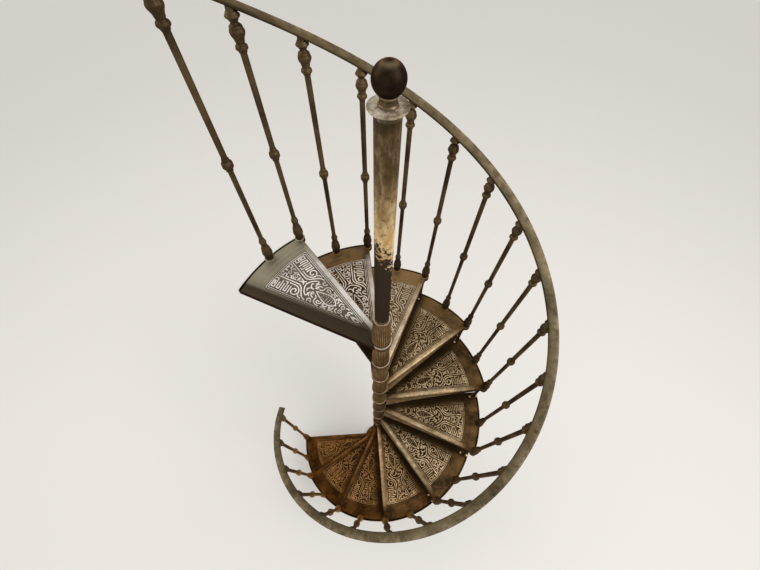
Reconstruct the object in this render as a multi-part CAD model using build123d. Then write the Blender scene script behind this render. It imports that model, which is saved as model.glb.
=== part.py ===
from build123d import *
import math
import os

os.makedirs("parts", exist_ok=True)

# A cast-iron spiral stair: eleven wedge treads turn anticlockwise as they climb round a round newel.
# Each tread is one casting with its hub sleeve, front apron and outer leg, and the sleeves stack on
# the newel shaft. Two turned balusters stand on the outer edge of each tread and lean out a little
# to a flat-bar handrail that follows one helix. All sizes are in millimetres and degrees.
# The origin is on the newel's axis at floor level, +Z is up, and the first nosing points along -X.

# The flight
tread_count = 11
rise = 212.0
step_angle = 30.4
first_nosing_angle = 180.0

# The tread casting
tread_radius = 637.0
nosing_overhang = 18.0
back_overlap = 20.0
plate_thickness = 9.0
rim_depth = 30.0
rim_thickness = 10.0
nosing_top_round = 9.0
edge_reach = 1.0
rib_width = 9.0
lug_radius = 23.0
lug_depth = 22.0

# The apron under the nosing, deep at the hub and shallow at the outer end
apron_setback = 5.0
apron_thickness = 9.0
apron_hub_depth = 168.0
apron_middle_depth = 88.0
apron_outer_depth = 66.0
apron_hub_gap = 4.0

# The leg that carries the front corner on the tread below, with its bolted foot
leg_inset = 30.0
leg_circle_radius = tread_radius - leg_inset
leg_radius = 11.0
leg_foot_length = 58.0
leg_foot_width = 24.0
leg_foot_depth = 7.0

# The hub sleeves and the newel
shaft_radius = 25.0
shaft_clearance = 0.5
sleeve_foot_radius = 38.5
sleeve_foot_height = 8.0
sleeve_middle_radius = 35.5
sleeve_middle_height = 95.0
sleeve_top_radius = 29.0
boss_radius = 42.0
newel_top = 3272.0

# The base under the first tread
base_radius = 120.0
base_thickness = 16.0
base_cove_height = 16.0
base_bolt_circle_radius = 92.0
base_bolt_count = 4
base_bolt_first_angle = 45.0
base_bolt_hole_radius = 7.0

# The newel's cap and ball
cap_radius = 36.0
cap_neck_radius = 27.5
cap_neck_height = 12.0
cap_plate_thickness = 5.0
ball_radius = 28.4
ball_neck_radius = 15.5
ball_neck_height = 18.0
ball_bead_radius = 18.0

# The balusters, each measured from its foot on the tread
baluster_inset = 11.0
baluster_circle_radius = tread_radius - baluster_inset
corner_baluster_angle = -1.0
foot_radius = 18.0
foot_bulge_radius = 22.0
foot_bulge_height = 42.0
foot_waist_radius = 13.5
foot_waist_height = 92.0
foot_knob_radius = 15.5
foot_knob_height = 112.0
foot_end_height = 130.0
lower_rod_radius = 9.5
upper_rod_radius = 10.0
knop_radius = 19.0
knop_half_height = 19.0
knop_share = 0.5
vase_ring_radius = 18.0
vase_ring_below_rail = 100.0
vase_waist_radius = 12.0
vase_waist_below_rail = 89.0
vase_radius = 22.0
vase_below_rail = 61.0
vase_neck_radius = 10.0
vase_neck_below_rail = 39.0
rail_collar_radius = 21.0
rail_collar_below_rail = 24.0
tenon_radius = 13.0
tenon_below_rail = 11.0

# The handrail, a flat bar with its top edges eased, in lengths that meet between two balusters. The
# balusters lean out to it by the named distance, and the bar is banked with its outer edge higher.
baluster_lean = 40.0
rail_radius = baluster_circle_radius + baluster_lean
rail_height = 892.0
rail_width = 40.0
rail_bank = 12.0
rail_edge_thickness = 6.0
rail_thickness = 9.0
rail_eased_width = 6.0
rail_overhang_angle = 5.0
rail_treads_per_length = 2
rail_joint_share = 0.25
rail_seat_gap = 0.3

# Flat sides that stand for round castings
spindle_sides = 8
sleeve_sides = 12
lug_sides = 8
ball_sides = 20
ball_rings = 9

middle_baluster_angle = corner_baluster_angle + step_angle / 2
rail_pitch = rise * 360.0 / step_angle
rail_slope = math.atan(rail_pitch / (2 * math.pi * rail_radius))
bore_radius = shaft_radius + shaft_clearance


# Angle of a tread's nosing about the newel; treads are counted from zero at the bottom.
def nosing_angle(number):
    return first_nosing_angle + number * step_angle


# Height of a tread's walking surface above the floor.
def tread_height(number):
    return (number + 1) * rise


# Turns a shape about the newel's axis and lifts it.
def placed(shape, angle, height=0.0):
    return Pos(0, 0, height) * Rot(0, 0, angle) * shape


# A turned shape with flat sides, each as far from the axis as the round one, from its rings' radii
# and heights, bottom ring first.
def many_sided(points, sides):
    share = 1 / math.cos(math.pi / sides)
    rings = []
    for radius, height in points:
        corners = [polar(radius * share, 360.0 * (side + 0.5) / sides) for side in range(sides)]
        rings.append([Vector(x, y, height) for x, y in corners])
    faces = [make_face(Polyline(*rings[0], close=True)), make_face(Polyline(*rings[-1], close=True))]
    for lower, upper in zip(rings, rings[1:]):
        for side in range(sides):
            after = (side + 1) % sides
            corners = [lower[side], lower[after], upper[after], upper[side]]
            faces.append(make_face(Polyline(*corners, close=True)))
    return Solid(Shell([face.face() for face in faces]))


# A point on a circle about the newel.
def polar(radius, angle):
    return (radius * math.cos(math.radians(angle)), radius * math.sin(math.radians(angle)))


# The tread's wedge, drawn in by an inset: the nosing runs beside the X axis, and the back edge lies
# under the next nosing and meets the boss at a tangent.
def wedge_outline(inset):
    radius = tread_radius - inset
    front_y = inset - nosing_overhang
    front_corner = (math.sqrt(radius**2 - front_y**2), front_y)
    back_angle = step_angle + math.degrees(math.asin((back_overlap - inset) / radius))
    back_corner = polar(radius, back_angle)
    tangent = polar(boss_radius - inset, step_angle + 90)
    edge = [
        Line((0, front_y), front_corner),
        ThreePointArc(front_corner, polar(radius, back_angle / 2), back_corner),
        Line(back_corner, tangent),
        Line(tangent, (0, front_y)),
    ]
    return make_face(edge)


# A flat-sided ring line round the newel, turned as the sleeve's sides are.
def sleeve_outline(radius):
    return RegularPolygon(radius, sleeve_sides, major_radius=False, rotation=180.0 / sleeve_sides)


# The apron's side view, cut from the nosing down to a hollow curve.
def tread_apron():
    inner_x = boss_radius + apron_hub_gap
    outer_x = leg_circle_radius
    front_y = -nosing_overhang + apron_setback
    edge = [
        Line((inner_x, -plate_thickness / 2), (outer_x, -plate_thickness / 2)),
        Line((outer_x, -plate_thickness / 2), (outer_x, -apron_outer_depth)),
        ThreePointArc(
            (outer_x, -apron_outer_depth),
            ((inner_x + outer_x) / 2, -apron_middle_depth),
            (inner_x, -apron_hub_depth),
        ),
        Line((inner_x, -apron_hub_depth), (inner_x, -plate_thickness / 2)),
    ]
    side = Plane(origin=(0, front_y, 0), x_dir=(1, 0, 0), z_dir=(0, -1, 0)) * make_face(edge)
    return extrude(side, -apron_thickness)


# The leg and, centred under it, the foot that is bolted to the tread below.
def tread_leg():
    middle_y = -nosing_overhang + apron_setback + apron_thickness / 2
    outline = RegularPolygon(leg_radius, spindle_sides, major_radius=False)
    leg = Pos(leg_circle_radius, middle_y, -rise) * extrude(outline, rise - plate_thickness / 2)
    foot = extrude(Rectangle(leg_foot_length, leg_foot_width), leg_foot_depth)
    return leg + Pos(leg_circle_radius, middle_y, -rise) * foot


# The hub sleeve: a boss at the plate and a sleeve that narrows upwards to the next boss.
def hub_sleeve(bottom, top):
    return many_sided(
        [
            (boss_radius, bottom),
            (boss_radius, 0),
            (sleeve_foot_radius, sleeve_foot_height),
            (sleeve_middle_radius, sleeve_middle_height),
            (sleeve_top_radius, top),
        ],
        sleeve_sides,
    )


# One whole tread casting with its walking surface at height zero.
def tread():
    body = extrude(wedge_outline(0) + sleeve_outline(boss_radius), -rim_depth)
    inside = wedge_outline(rim_thickness) - sleeve_outline(boss_radius)
    pocket = Pos(0, 0, -rim_depth) * extrude(inside, rim_depth - plate_thickness)
    rib = Rot(0, 0, middle_baluster_angle) * Box(
        tread_radius, rib_width, rim_depth, align=(Align.MIN, Align.CENTER, Align.MAX)
    )
    body = body - (pocket - rib)
    front_low = -nosing_overhang - edge_reach
    front_high = -nosing_overhang + edge_reach
    front = body.edges().filter_by(Axis.X).filter_by_position(Axis.Y, front_low, front_high)
    body = fillet(front.group_by(Axis.Z)[-1], nosing_top_round)
    for angle in (corner_baluster_angle, middle_baluster_angle):
        x, y = polar(baluster_circle_radius, angle)
        lug = RegularPolygon(lug_radius, lug_sides, major_radius=False)
        body += Pos(x, y, -lug_depth) * extrude(lug, lug_depth)
    body += tread_apron()
    body += tread_leg()
    body += hub_sleeve(-rim_depth, rise - rim_depth)
    return body - Pos(0, 0, -rim_depth) * extrude(sleeve_outline(bore_radius), rise)


# A baluster of the given height from the tread to the rail's underside, over the X axis. It leans
# out to the rail, its foot is cut level and its tenon is cut to the rail's slope and bank.
def baluster(height):
    knop_height = knop_share * height
    axis_length = math.hypot(height, baluster_lean)
    spindle = many_sided(
        [
            (foot_radius, -foot_bulge_height),
            (foot_radius, 0),
            (foot_bulge_radius, foot_bulge_height),
            (foot_waist_radius, foot_waist_height),
            (foot_knob_radius, foot_knob_height),
            (lower_rod_radius, foot_end_height),
            (lower_rod_radius, knop_height - knop_half_height),
            (knop_radius, knop_height),
            (upper_rod_radius, knop_height + knop_half_height),
            (upper_rod_radius, axis_length - vase_ring_below_rail - knop_half_height),
            (vase_ring_radius, axis_length - vase_ring_below_rail),
            (vase_waist_radius, axis_length - vase_waist_below_rail),
            (vase_radius, axis_length - vase_below_rail),
            (vase_neck_radius, axis_length - vase_neck_below_rail),
            (rail_collar_radius, axis_length - rail_collar_below_rail),
            (tenon_radius, axis_length - tenon_below_rail),
            (tenon_radius, axis_length + rail_width),
        ],
        spindle_sides,
    )
    lean = math.degrees(math.atan(baluster_lean / height))
    spindle = split(Rot(0, lean, 0) * spindle, Plane.XY, keep=Keep.TOP)
    bank = math.radians(rail_bank)
    level = math.cos(bank)
    across = (-math.sin(bank), -math.sin(rail_slope) * level, math.cos(rail_slope) * level)
    seat = Vector(baluster_lean, 0, height) - Vector(*across) * rail_seat_gap
    spindle = split(spindle, Plane(origin=seat, z_dir=across), keep=Keep.BOTTOM)
    return Pos(baluster_circle_radius, 0, 0) * spindle


# A length of the handrail that starts over the X axis and climbs through the given angle.
def handrail_length(angle):
    path = Helix(rail_pitch, rail_pitch * angle / 360.0, rail_radius)
    half = rail_width / 2
    eased = half - rail_eased_width
    edge = Polyline(
        (-half, 0),
        (half, 0),
        (half, rail_edge_thickness),
        (eased, rail_thickness),
        (-eased, rail_thickness),
        (-half, rail_edge_thickness),
        close=True,
    )
    across = Plane(origin=path @ 0, x_dir=(-1, 0, 0), z_dir=path % 0)
    section = across * Rot(0, 0, -rail_bank) * make_face(edge)
    return sweep(section, path=path, is_frenet=True)


# The base: a bolted flange and a coved sleeve that the first tread's boss stands on.
def newel_base():
    top = rise - rim_depth
    sleeve = many_sided(
        [
            (boss_radius + base_cove_height, base_thickness / 2),
            (boss_radius + base_cove_height, base_thickness),
            (sleeve_foot_radius, base_thickness + base_cove_height),
            (sleeve_top_radius, top),
        ],
        sleeve_sides,
    )
    body = extrude(Circle(base_radius), base_thickness) + sleeve
    body -= Pos(0, 0, base_thickness) * extrude(sleeve_outline(bore_radius), top)
    holes = PolarLocations(base_bolt_circle_radius, base_bolt_count, start_angle=base_bolt_first_angle)
    return body - holes * extrude(Circle(base_bolt_hole_radius), base_thickness)


# The newel shaft, from the base's socket up into the cap.
def newel_shaft():
    length = newel_top + cap_neck_height - base_thickness
    return Pos(0, 0, base_thickness) * extrude(Circle(shaft_radius), length)


# The cap: a neck round the shaft's end under a round plate, bored for the shaft.
def newel_cap():
    plate_bottom = newel_top + cap_neck_height
    body = many_sided(
        [
            (cap_neck_radius, newel_top),
            (cap_radius, plate_bottom),
            (cap_radius, plate_bottom + cap_plate_thickness),
        ],
        ball_sides,
    )
    bore = RegularPolygon(bore_radius, ball_sides, major_radius=False, rotation=180.0 / ball_sides)
    return body - Pos(0, 0, newel_top) * extrude(bore, cap_neck_height)


# The ball with its turned neck, standing on the cap. The ball's rings are evenly spaced in angle.
def ball_finial():
    bottom = newel_top + cap_neck_height + cap_plate_thickness
    first_angle = -math.degrees(math.acos(ball_neck_radius / ball_radius))
    centre = bottom + ball_neck_height - ball_radius * math.sin(math.radians(first_angle))
    rings = [(ball_bead_radius, bottom)]
    for ring in range(ball_rings):
        angle = math.radians(first_angle + (90.0 - first_angle) * ring / ball_rings)
        rings.append((ball_radius * math.cos(angle), centre + ball_radius * math.sin(angle)))
    return many_sided(rings, ball_sides)


export_step(newel_base(), "parts/newel_base.step")
export_step(newel_shaft(), "parts/newel_shaft.step")
export_step(newel_cap(), "parts/newel_cap.step")
export_step(ball_finial(), "parts/ball_finial.step")

tread_casting = tread()
corner_baluster = baluster(rail_height)
middle_baluster = baluster(rail_height + rise / 2)
for number in range(tread_count):
    angle = nosing_angle(number)
    height = tread_height(number)
    label = f"{number + 1:02d}"
    export_step(placed(tread_casting, angle, height), f"parts/tread_{label}.step")
    corner = placed(corner_baluster, angle + corner_baluster_angle, height)
    export_step(corner, f"parts/corner_baluster_{label}.step")
    middle = placed(middle_baluster, angle + middle_baluster_angle, height)
    export_step(middle, f"parts/middle_baluster_{label}.step")

# The rail's joints lie between a corner baluster and the next one up.
rail_joint_angle = math.degrees(rail_seat_gap / rail_radius)
rail_marks = [corner_baluster_angle - rail_overhang_angle]
for number in range(rail_treads_per_length, tread_count - 1, rail_treads_per_length):
    rail_marks.append(corner_baluster_angle + (number + rail_joint_share) * step_angle)
rail_marks.append((tread_count - 1) * step_angle + middle_baluster_angle + rail_overhang_angle)
for number, (start, end) in enumerate(zip(rail_marks, rail_marks[1:])):
    climb = (start - corner_baluster_angle) / step_angle * rise
    length = handrail_length(end - start - rail_joint_angle)
    bottom = tread_height(0) + rail_height + climb
    export_step(placed(length, first_nosing_angle + start, bottom), f"parts/handrail_{number + 1}.step")
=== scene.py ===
import bmesh
import bpy
import math
import numpy as np
from mathutils import Matrix


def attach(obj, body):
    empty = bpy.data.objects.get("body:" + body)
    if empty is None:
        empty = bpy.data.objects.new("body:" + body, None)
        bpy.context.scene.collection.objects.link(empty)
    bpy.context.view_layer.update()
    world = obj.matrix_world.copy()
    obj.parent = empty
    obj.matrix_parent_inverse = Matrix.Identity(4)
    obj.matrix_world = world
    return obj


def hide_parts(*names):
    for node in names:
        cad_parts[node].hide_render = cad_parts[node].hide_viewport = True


# Looks for a cast-iron spiral stair: relief treads with fluted hubs stacked on a painted newel,
# turned balusters that lean out to a flat-bar handrail, a cap and a ball.
# Lengths are in metres, angles in degrees; each casting is worked out once beside the X axis, with
# its walking surface at height zero, and then turned and lifted to its place.

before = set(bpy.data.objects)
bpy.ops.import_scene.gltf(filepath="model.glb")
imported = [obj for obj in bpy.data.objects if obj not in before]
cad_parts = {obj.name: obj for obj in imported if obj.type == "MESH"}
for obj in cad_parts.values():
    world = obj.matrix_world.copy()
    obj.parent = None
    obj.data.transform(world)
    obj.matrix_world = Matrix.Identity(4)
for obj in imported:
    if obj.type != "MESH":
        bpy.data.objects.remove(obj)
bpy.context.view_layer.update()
print("loaded the frame:", len(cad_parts), "nodes")

flight = {
    "treads": 11,
    "rise": 0.212,
    "step": 30.4,
    "firstNosing": 180.0,
    "treadRadius": 0.637,
    "footRadius": 0.626,
    "railRadius": 0.666,
    "railHeight": 0.892,
    "railBank": 12.0,
    "cornerAngle": -1.0,
}
flight["middleAngle"] = flight["cornerAngle"] + flight["step"] / 2


# Each tread's label, its nosing's angle and its walking surface's height, from the lowest one up.
def treadPlaces():
    for number in range(flight["treads"]):
        angle = flight["firstNosing"] + number * flight["step"]
        yield f"{number + 1:02d}", angle, (number + 1) * flight["rise"]


# Mesh tools

weldDistance = 2e-6  # points nearer to each other than this become one


# Faces of a grid of rows x columns points; each cell is one four-sided face that looks along
# columns' direction x rows' direction. A closed grid joins its last column to its first.
def gridFaces(rows, columns, closed):
    cells = columns if closed else columns - 1
    row = np.arange(rows - 1)[:, None] * columns
    column = np.arange(cells)[None, :]
    after = (column + 1) % columns
    corners = [row + column, row + after, row + columns + after, row + columns + column]
    return np.stack(np.broadcast_arrays(*corners), axis=-1).reshape(-1, 4)


# One mesh from several grids, each (points rows x columns x 3, wear and painted shading rows x
# columns, closed or not).
# Doubles are merged, which closes seams and poles; edges sharper than the angle stay sharp.
def joinGrids(name, grids, sharpAngle=38.0):
    points, wearAndShading, faces, start = [], [], [], 0
    for grid, worn, closed in grids:
        rows, columns = grid.shape[:2]
        points.append(grid.reshape(-1, 3))
        wearAndShading.append(np.broadcast_to(worn, (rows, columns)).reshape(-1))
        faces.append(gridFaces(rows, columns, closed) + start)
        start += rows * columns
    points, wearAndShading, faces = np.concatenate(points), np.concatenate(wearAndShading), np.concatenate(faces)
    mesh = bpy.data.meshes.new(name)
    mesh.vertices.add(len(points))
    mesh.vertices.foreach_set("co", points.astype(np.float32).ravel())
    mesh.loops.add(faces.size)
    mesh.loops.foreach_set("vertex_index", faces.astype(np.int32).ravel())
    mesh.polygons.add(len(faces))
    mesh.polygons.foreach_set("loop_start", np.arange(0, faces.size, 4, dtype=np.int32))
    mesh.update(calc_edges=True)
    layer = mesh.attributes.new("wearAndShading", "FLOAT", "POINT")
    layer.data.foreach_set("value", wearAndShading.astype(np.float32))
    welder = bmesh.new()
    welder.from_mesh(mesh)
    bmesh.ops.remove_doubles(welder, verts=welder.verts, dist=weldDistance)
    welder.to_mesh(mesh)
    welder.free()
    mesh.shade_smooth()
    mesh.set_sharp_from_angle(angle=math.radians(sharpAngle))
    return mesh


# A new object in the scene.
def newObject(name, data):
    thing = bpy.data.objects.new(name, data)
    bpy.context.scene.collection.objects.link(thing)
    return thing


# A mesh as a piece of the stair that stands for a node.
def addPiece(name, mesh, material, node):
    mesh.materials.append(material)
    piece = newObject(name, mesh)
    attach(piece, "root")
    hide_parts(node)


# A copy of a mesh turned about the newel and lifted.
def placedCopy(mesh, name, angle, height):
    copy = mesh.copy()
    copy.name = name
    copy.transform(Matrix.Translation((0, 0, height)) @ Matrix.Rotation(math.radians(angle), 4, "Z"))
    return copy


# Radius at each height of a turned profile: between two listed points the radius moves by half a
# cosine wave, so every listed point is the top of a bead or the bottom of a cove.
def turnedRadius(profile, heights):
    at, radius = np.array(profile, float).T
    low = np.clip(np.searchsorted(at, heights, side="right") - 1, 0, len(at) - 2)
    share = np.clip((heights - at[low]) / (at[low + 1] - at[low]), 0, 1)
    return radius[low] + (radius[low + 1] - radius[low]) * (1 - np.cos(np.pi * share)) / 2


# Heights from each corner to the next in even steps, and the last corner.
def stepped(corners, steps):
    spans = zip(corners, corners[1:], np.broadcast_to(steps, len(corners) - 1))
    heights = [np.linspace(low, high, count, endpoint=False) for low, high, count in spans]
    return np.append(np.concatenate(heights), corners[-1])


# Point = (radius cos angle, radius sin angle).
def flatPoint(radius, angle):
    return np.stack([radius * np.cos(angle), radius * np.sin(angle)], axis=-1)


# Point = (flat x, flat y, height).
def lifted(flat, height):
    return np.concatenate([flat, np.broadcast_to(height, flat.shape[:-1])[..., None]], axis=-1)


# A surface of revolution: point = (radius cos a, radius sin a, height), rows up, columns round.
def revolved(heights, radius, columns):
    angles = np.arange(columns) * 2 * np.pi / columns
    radius = np.reshape(radius, (len(heights), -1))
    return lifted(flatPoint(radius, angles), np.reshape(heights, (-1, 1)))


# A grid closed round its columns, with both ends drawn to the middle of the first and last rows.
def capped(grid, wearAndShading):
    first, last = (np.broadcast_to(row.mean(axis=0), row.shape)[None] for row in (grid[0], grid[-1]))
    wearAndShading = np.pad(np.broadcast_to(wearAndShading, grid.shape[:2]), ((1, 1), (0, 0)), mode="edge")
    return (np.concatenate([first, grid, last]), wearAndShading, True)


# A turned piece with closed ends that stands at a place: point = revolved point + (x, y, 0).
def turnedAt(x, y, heights, radius, columns, wearAndShading):
    return capped(revolved(heights, radius, columns) + np.array([x, y, 0.0]), wearAndShading)


# A turned piece on the newel's axis, with some rows between each two points of its profile.
def turnedOnAxis(look):
    heights = stepped(np.array(look["profile"])[:, 0], look["rows"])
    radius = turnedRadius(look["profile"], heights)
    return turnedAt(0.0, 0.0, heights, radius, look["sides"], look["wearAndShading"])


# A six-sided bolt head that narrows at its top edge.
def boltHead(x, y, bottom, look):
    heights = bottom + np.array([0.0, look["headHeight"] - look["headBevel"], look["headHeight"]])
    radius = look["headRadius"] * np.array([1.0, 1.0, look["headTop"]])
    return turnedAt(x, y, heights, radius, 6, look["headWear"])


# Materials

# Adds a shader node, sets its values by name, and joins sockets given to it.
def addNode(tree, kind, inputs=None, **settings):
    node = tree.nodes.new(kind)
    for key, value in settings.items():
        setattr(node, key, value)
    for key, value in (inputs or {}).items():
        if isinstance(value, bpy.types.NodeSocket):
            tree.links.new(value, node.inputs[key])
        else:
            node.inputs[key].default_value = value
    return node


# A colour from 0-255 display values, with the display curve undone.
def colour(red, green, blue):
    values = np.array([red, green, blue]) / 255
    linear = np.where(values <= 0.04045, values / 12.92, ((values + 0.055) / 1.055) ** 2.4)
    return (*[float(value) for value in linear], 1.0)


# A new material with its nodes, its shader and the place on the stair.
def startMaterial(name):
    material = bpy.data.materials.new(name)
    material.use_nodes = True
    tree = material.node_tree
    place = addNode(tree, "ShaderNodeTexCoord").outputs["Object"]
    return material, tree, tree.nodes["Principled BSDF"], place


# The vertical part of a place or a direction.
def verticalOf(tree, vector):
    return addNode(tree, "ShaderNodeSeparateXYZ", {"Vector": vector}).outputs["Z"]


# Noise from its scale, detail and roughness.
def noise(tree, place, kind):
    inputs = {"Vector": place, "Scale": kind[0], "Detail": kind[1], "Roughness": kind[2]}
    return addNode(tree, "ShaderNodeTexNoise", inputs).outputs["Fac"]


# A value moved from one pair of ends to another and held between them.
def ranged(tree, value, ends, newEnds=(0.0, 1.0)):
    inputs = {"Value": value, "From Min": ends[0], "From Max": ends[1]}
    inputs.update({"To Min": newEnds[0], "To Max": newEnds[1]})
    return addNode(tree, "ShaderNodeMapRange", inputs).outputs["Result"]


# One maths operation on its values.
def worked(tree, operation, *values):
    return addNode(tree, "ShaderNodeMath", dict(enumerate(values)), operation=operation).outputs[0]


# The second colour laid over the first by a share, mixed in or multiplied.
def blended(tree, share, first, second, way="MIX"):
    mix = addNode(tree, "ShaderNodeMix", {0: share, 6: first, 7: second}, data_type="RGBA", blend_type=way)
    return mix.outputs[2]


# Bump from a height map, with its strength and its depth.
def addBump(tree, shader, height, strength, depth):
    bump = addNode(tree, "ShaderNodeBump", {"Height": height, "Strength": strength, "Distance": depth})
    tree.links.new(bump.outputs["Normal"], shader.inputs["Normal"])


# Old cast iron. The ground mixes two dark colours in patches with rust; where the wear-and-shading
# attribute is over zero the relief is rubbed pale, broken up by a coarse noise, and where it is
# under zero the surface is darkened to one dark colour, as painted shade under and behind things
# and as grime. Low on the stair a higher power and a smaller share keep the rubbed pale to the tops,
# as painted shade. Up the stair what faces up gets painted daylight: it is paled where it is rubbed
# and gilded, then greyed, elsewhere; and low down all of it is made warmer and darker as painted
# warm lamp light and shade.
def oldIron(name, look):
    material, tree, shader, place = startMaterial(name)
    wearAndShading = addNode(tree, "ShaderNodeAttribute", attribute_name="wearAndShading").outputs["Fac"]
    normal = addNode(tree, "ShaderNodeNewGeometry").outputs["Normal"]
    height = verticalOf(tree, place)
    # Painted daylight from above: a share that grows up the stair and with how much a face looks up; it pales
    # what is rubbed, and gilds then greys the ground.
    upLit = ranged(tree, verticalOf(tree, normal), look["upLitEnds"])
    high = worked(tree, "MULTIPLY", ranged(tree, height, look["daylightHeights"]), upLit)
    mottle = noise(tree, place, look["mottleNoise"])
    patches = ranged(tree, noise(tree, place, look["patchNoise"]), look["patchEnds"])
    ground = blended(tree, patches, look["dark"], look["mid"])
    rusty = ranged(tree, mottle, look["rustEnds"], (0.0, look["rustShare"]))
    ground = blended(tree, rusty, ground, look["rust"])
    goldLighting = ranged(tree, high, look["goldLightRise"], (0.0, look["goldLightShare"]))
    goldLightFading = ranged(tree, high, look["goldLightFall"], (1.0, look["goldLightLeft"]))
    ground = blended(tree, worked(tree, "MULTIPLY", goldLighting, goldLightFading), ground, look["gold"])
    greyLit = ranged(tree, high, look["greyLightEnds"], (0.0, look["greyLightShare"]))
    ground = blended(tree, greyLit, ground, look["greyLight"])
    rubbed = blended(tree, ranged(tree, mottle, look["wornEnds"]), look["wornDark"], look["worn"])
    daylit = ranged(tree, high, look["daylightPaleEnds"], (0.0, look["daylightPaleShare"]))
    rubbed = blended(tree, daylit, rubbed, look["daylightPale"])
    # Painted shade low down: a higher power and a smaller share cut back the rubbed pale.
    power = ranged(tree, height, look["lowShadeHeights"], (look["lowShadePower"], 1.0))
    coarse = noise(tree, place, look["breakNoise"])
    broken = ranged(tree, coarse, look["breakEnds"], (look["breakFloor"], 1.0))
    lowShaded = ranged(tree, height, look["lowShadeHeights"], (look["lowShadeWear"], 1.0))
    share = worked(tree, "MULTIPLY", worked(tree, "POWER", wearAndShading, power), broken)
    share = worked(tree, "MULTIPLY", share, lowShaded)
    surface = blended(tree, share, ground, rubbed)
    # Painted shade: where the wear-and-shading is under zero the surface darkens to one dark colour, as shade
    # under things and as grime.
    surface = blended(tree, ranged(tree, wearAndShading, (0.0, -1.0)), surface, look["shadeAndGrime"])
    # Painted warm lamp light and shade: low on the stair the colour is multiplied warmer and darker.
    warmShading = ranged(tree, height, look["warmShadeHeights"], (0.0, look["warmShadeShare"]))
    surface = blended(tree, warmShading, surface, look["warmShade"], "MULTIPLY")
    rough = ranged(tree, share, (0.0, 1.0), (look["roughGround"], look["roughWorn"]))
    grit = ranged(tree, mottle, look["gritEnds"], (-look["grit"], look["grit"]))
    tree.links.new(surface, shader.inputs["Base Color"])
    tree.links.new(worked(tree, "ADD", rough, grit), shader.inputs["Roughness"])
    shader.inputs["Metallic"].default_value = look["metallic"]
    shader.inputs["Specular Tint"].default_value = look["edgeTint"]
    addBump(tree, shader, noise(tree, place, look["grainNoise"]), look["grain"], look["grainDepth"])
    return material


# A pair of ends is where a change starts and where it is whole; a noise is its scale, detail and
# roughness; a share is how much of a colour is laid on at most.
ironLook = {
    "dark": colour(48, 36, 21),
    "mid": colour(96, 73, 43),
    "patchNoise": (10.0, 4.0, 0.6),
    "patchEnds": (0.4, 0.6),
    "mottleNoise": (46.0, 6.0, 0.7),
    "rust": colour(122, 84, 44),
    "rustEnds": (0.5, 0.72),
    "rustShare": 0.5,
    "worn": colour(232, 208, 172),
    "wornDark": colour(160, 134, 94),
    "wornEnds": (0.35, 0.65),
    "breakNoise": (7.9, 4.0, 0.6),
    "breakEnds": (0.34, 0.6),
    "breakFloor": 0.35,
    # painted shade with some grime, laid on where the wear-and-shading is under zero
    "shadeAndGrime": colour(34, 24, 12),
    # painted daylight from above on the upper treads: what faces up is paled where rubbed, and gilded then
    # greyed elsewhere
    "upLitEnds": (0.3, 0.8),
    "daylightPale": colour(250, 247, 244),
    "daylightHeights": (1.60, 2.30),
    "daylightPaleEnds": (0.25, 1.0),
    "daylightPaleShare": 0.9,
    "gold": colour(152, 122, 80),
    "goldLightRise": (0.0, 0.45),
    "goldLightFall": (0.5, 0.74),
    "goldLightLeft": 0.2,
    "goldLightShare": 0.65,
    "greyLight": colour(136, 130, 112),
    "greyLightEnds": (0.8, 1.0),
    "greyLightShare": 0.9,
    # painted warm lamp light and shade on the lowest treads
    "warmShade": colour(238, 188, 118),
    "warmShadeHeights": (1.05, 0.55),
    "warmShadeShare": 0.8,
    # painted shade on the lowest treads: less of the rubbed pale shows
    "lowShadeHeights": (0.63, 0.85),
    "lowShadeWear": 0.7,
    "lowShadePower": 5.0,
    "grainNoise": (420.0, 3.0, 0.6),
    "grain": 0.35,
    "grainDepth": 0.0008,
    "metallic": 0.85,
    "edgeTint": colour(176, 146, 104),
    "roughGround": 0.5,
    "roughWorn": 0.38,
    "gritEnds": (0.3, 0.7),
    "grit": 0.07,
}
treadIron = oldIron("old tread iron", ironLook)
# The balusters' iron: painted golden light on what faces up, by height (the daylight heights run downwards
# here), and a little painted warm shade low down.
spindleIron = oldIron(
    "old baluster iron",
    {
        **ironLook,
        "dark": colour(54, 44, 30),
        "mid": colour(90, 75, 53),
        "rust": colour(92, 72, 47),
        "worn": colour(96, 79, 55),
        "wornDark": colour(58, 46, 31),
        "daylightHeights": (1.2, 0.4),
        "daylightPaleShare": 0.0,
        "gold": colour(176, 134, 76),
        "goldLightShare": 0.9,
        "greyLightShare": 0.0,
        "upLitEnds": (-0.2, 0.5),
        "warmShadeShare": 0.4,
        "lowShadeWear": 1.0,
        "lowShadePower": 1.0,
        "patchNoise": (9.0, 4.0, 0.6),
        "breakFloor": 0.1,
        "metallic": 0.7,
    },
)
railIron = oldIron(
    "worn rail iron",
    {
        **ironLook,
        "dark": colour(52, 44, 31),
        "mid": colour(90, 77, 56),
        "rust": colour(68, 54, 34),
        "rustShare": 0.6,
        "worn": colour(166, 151, 121),
        "wornDark": colour(78, 68, 50),
        "daylightPaleShare": 0.0,
        "goldLightShare": 0.0,
        "greyLightShare": 0.0,
        "warmShadeShare": 0.15,
        "lowShadeWear": 1.0,
        "lowShadePower": 1.0,
        "patchNoise": (6.0, 4.0, 0.6),
        "mottleNoise": (36.0, 6.0, 0.7),
        "metallic": 0.7,
        "roughGround": 0.62,
        "roughWorn": 0.56,
    },
)
ballIron = oldIron(
    "dark ball iron",
    {
        **ironLook,
        "dark": colour(28, 21, 14),
        "mid": colour(42, 33, 23),
        "rust": colour(52, 38, 24),
        "worn": colour(150, 131, 104),
        "wornDark": colour(92, 78, 58),
        "daylightPaleShare": 0.0,
        "goldLightShare": 0.0,
        "greyLightShare": 0.0,
        "warmShadeShare": 0.0,
        "patchNoise": (22.0, 4.0, 0.6),
        "grain": 0.2,
        "roughGround": 0.38,
    },
)

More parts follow.
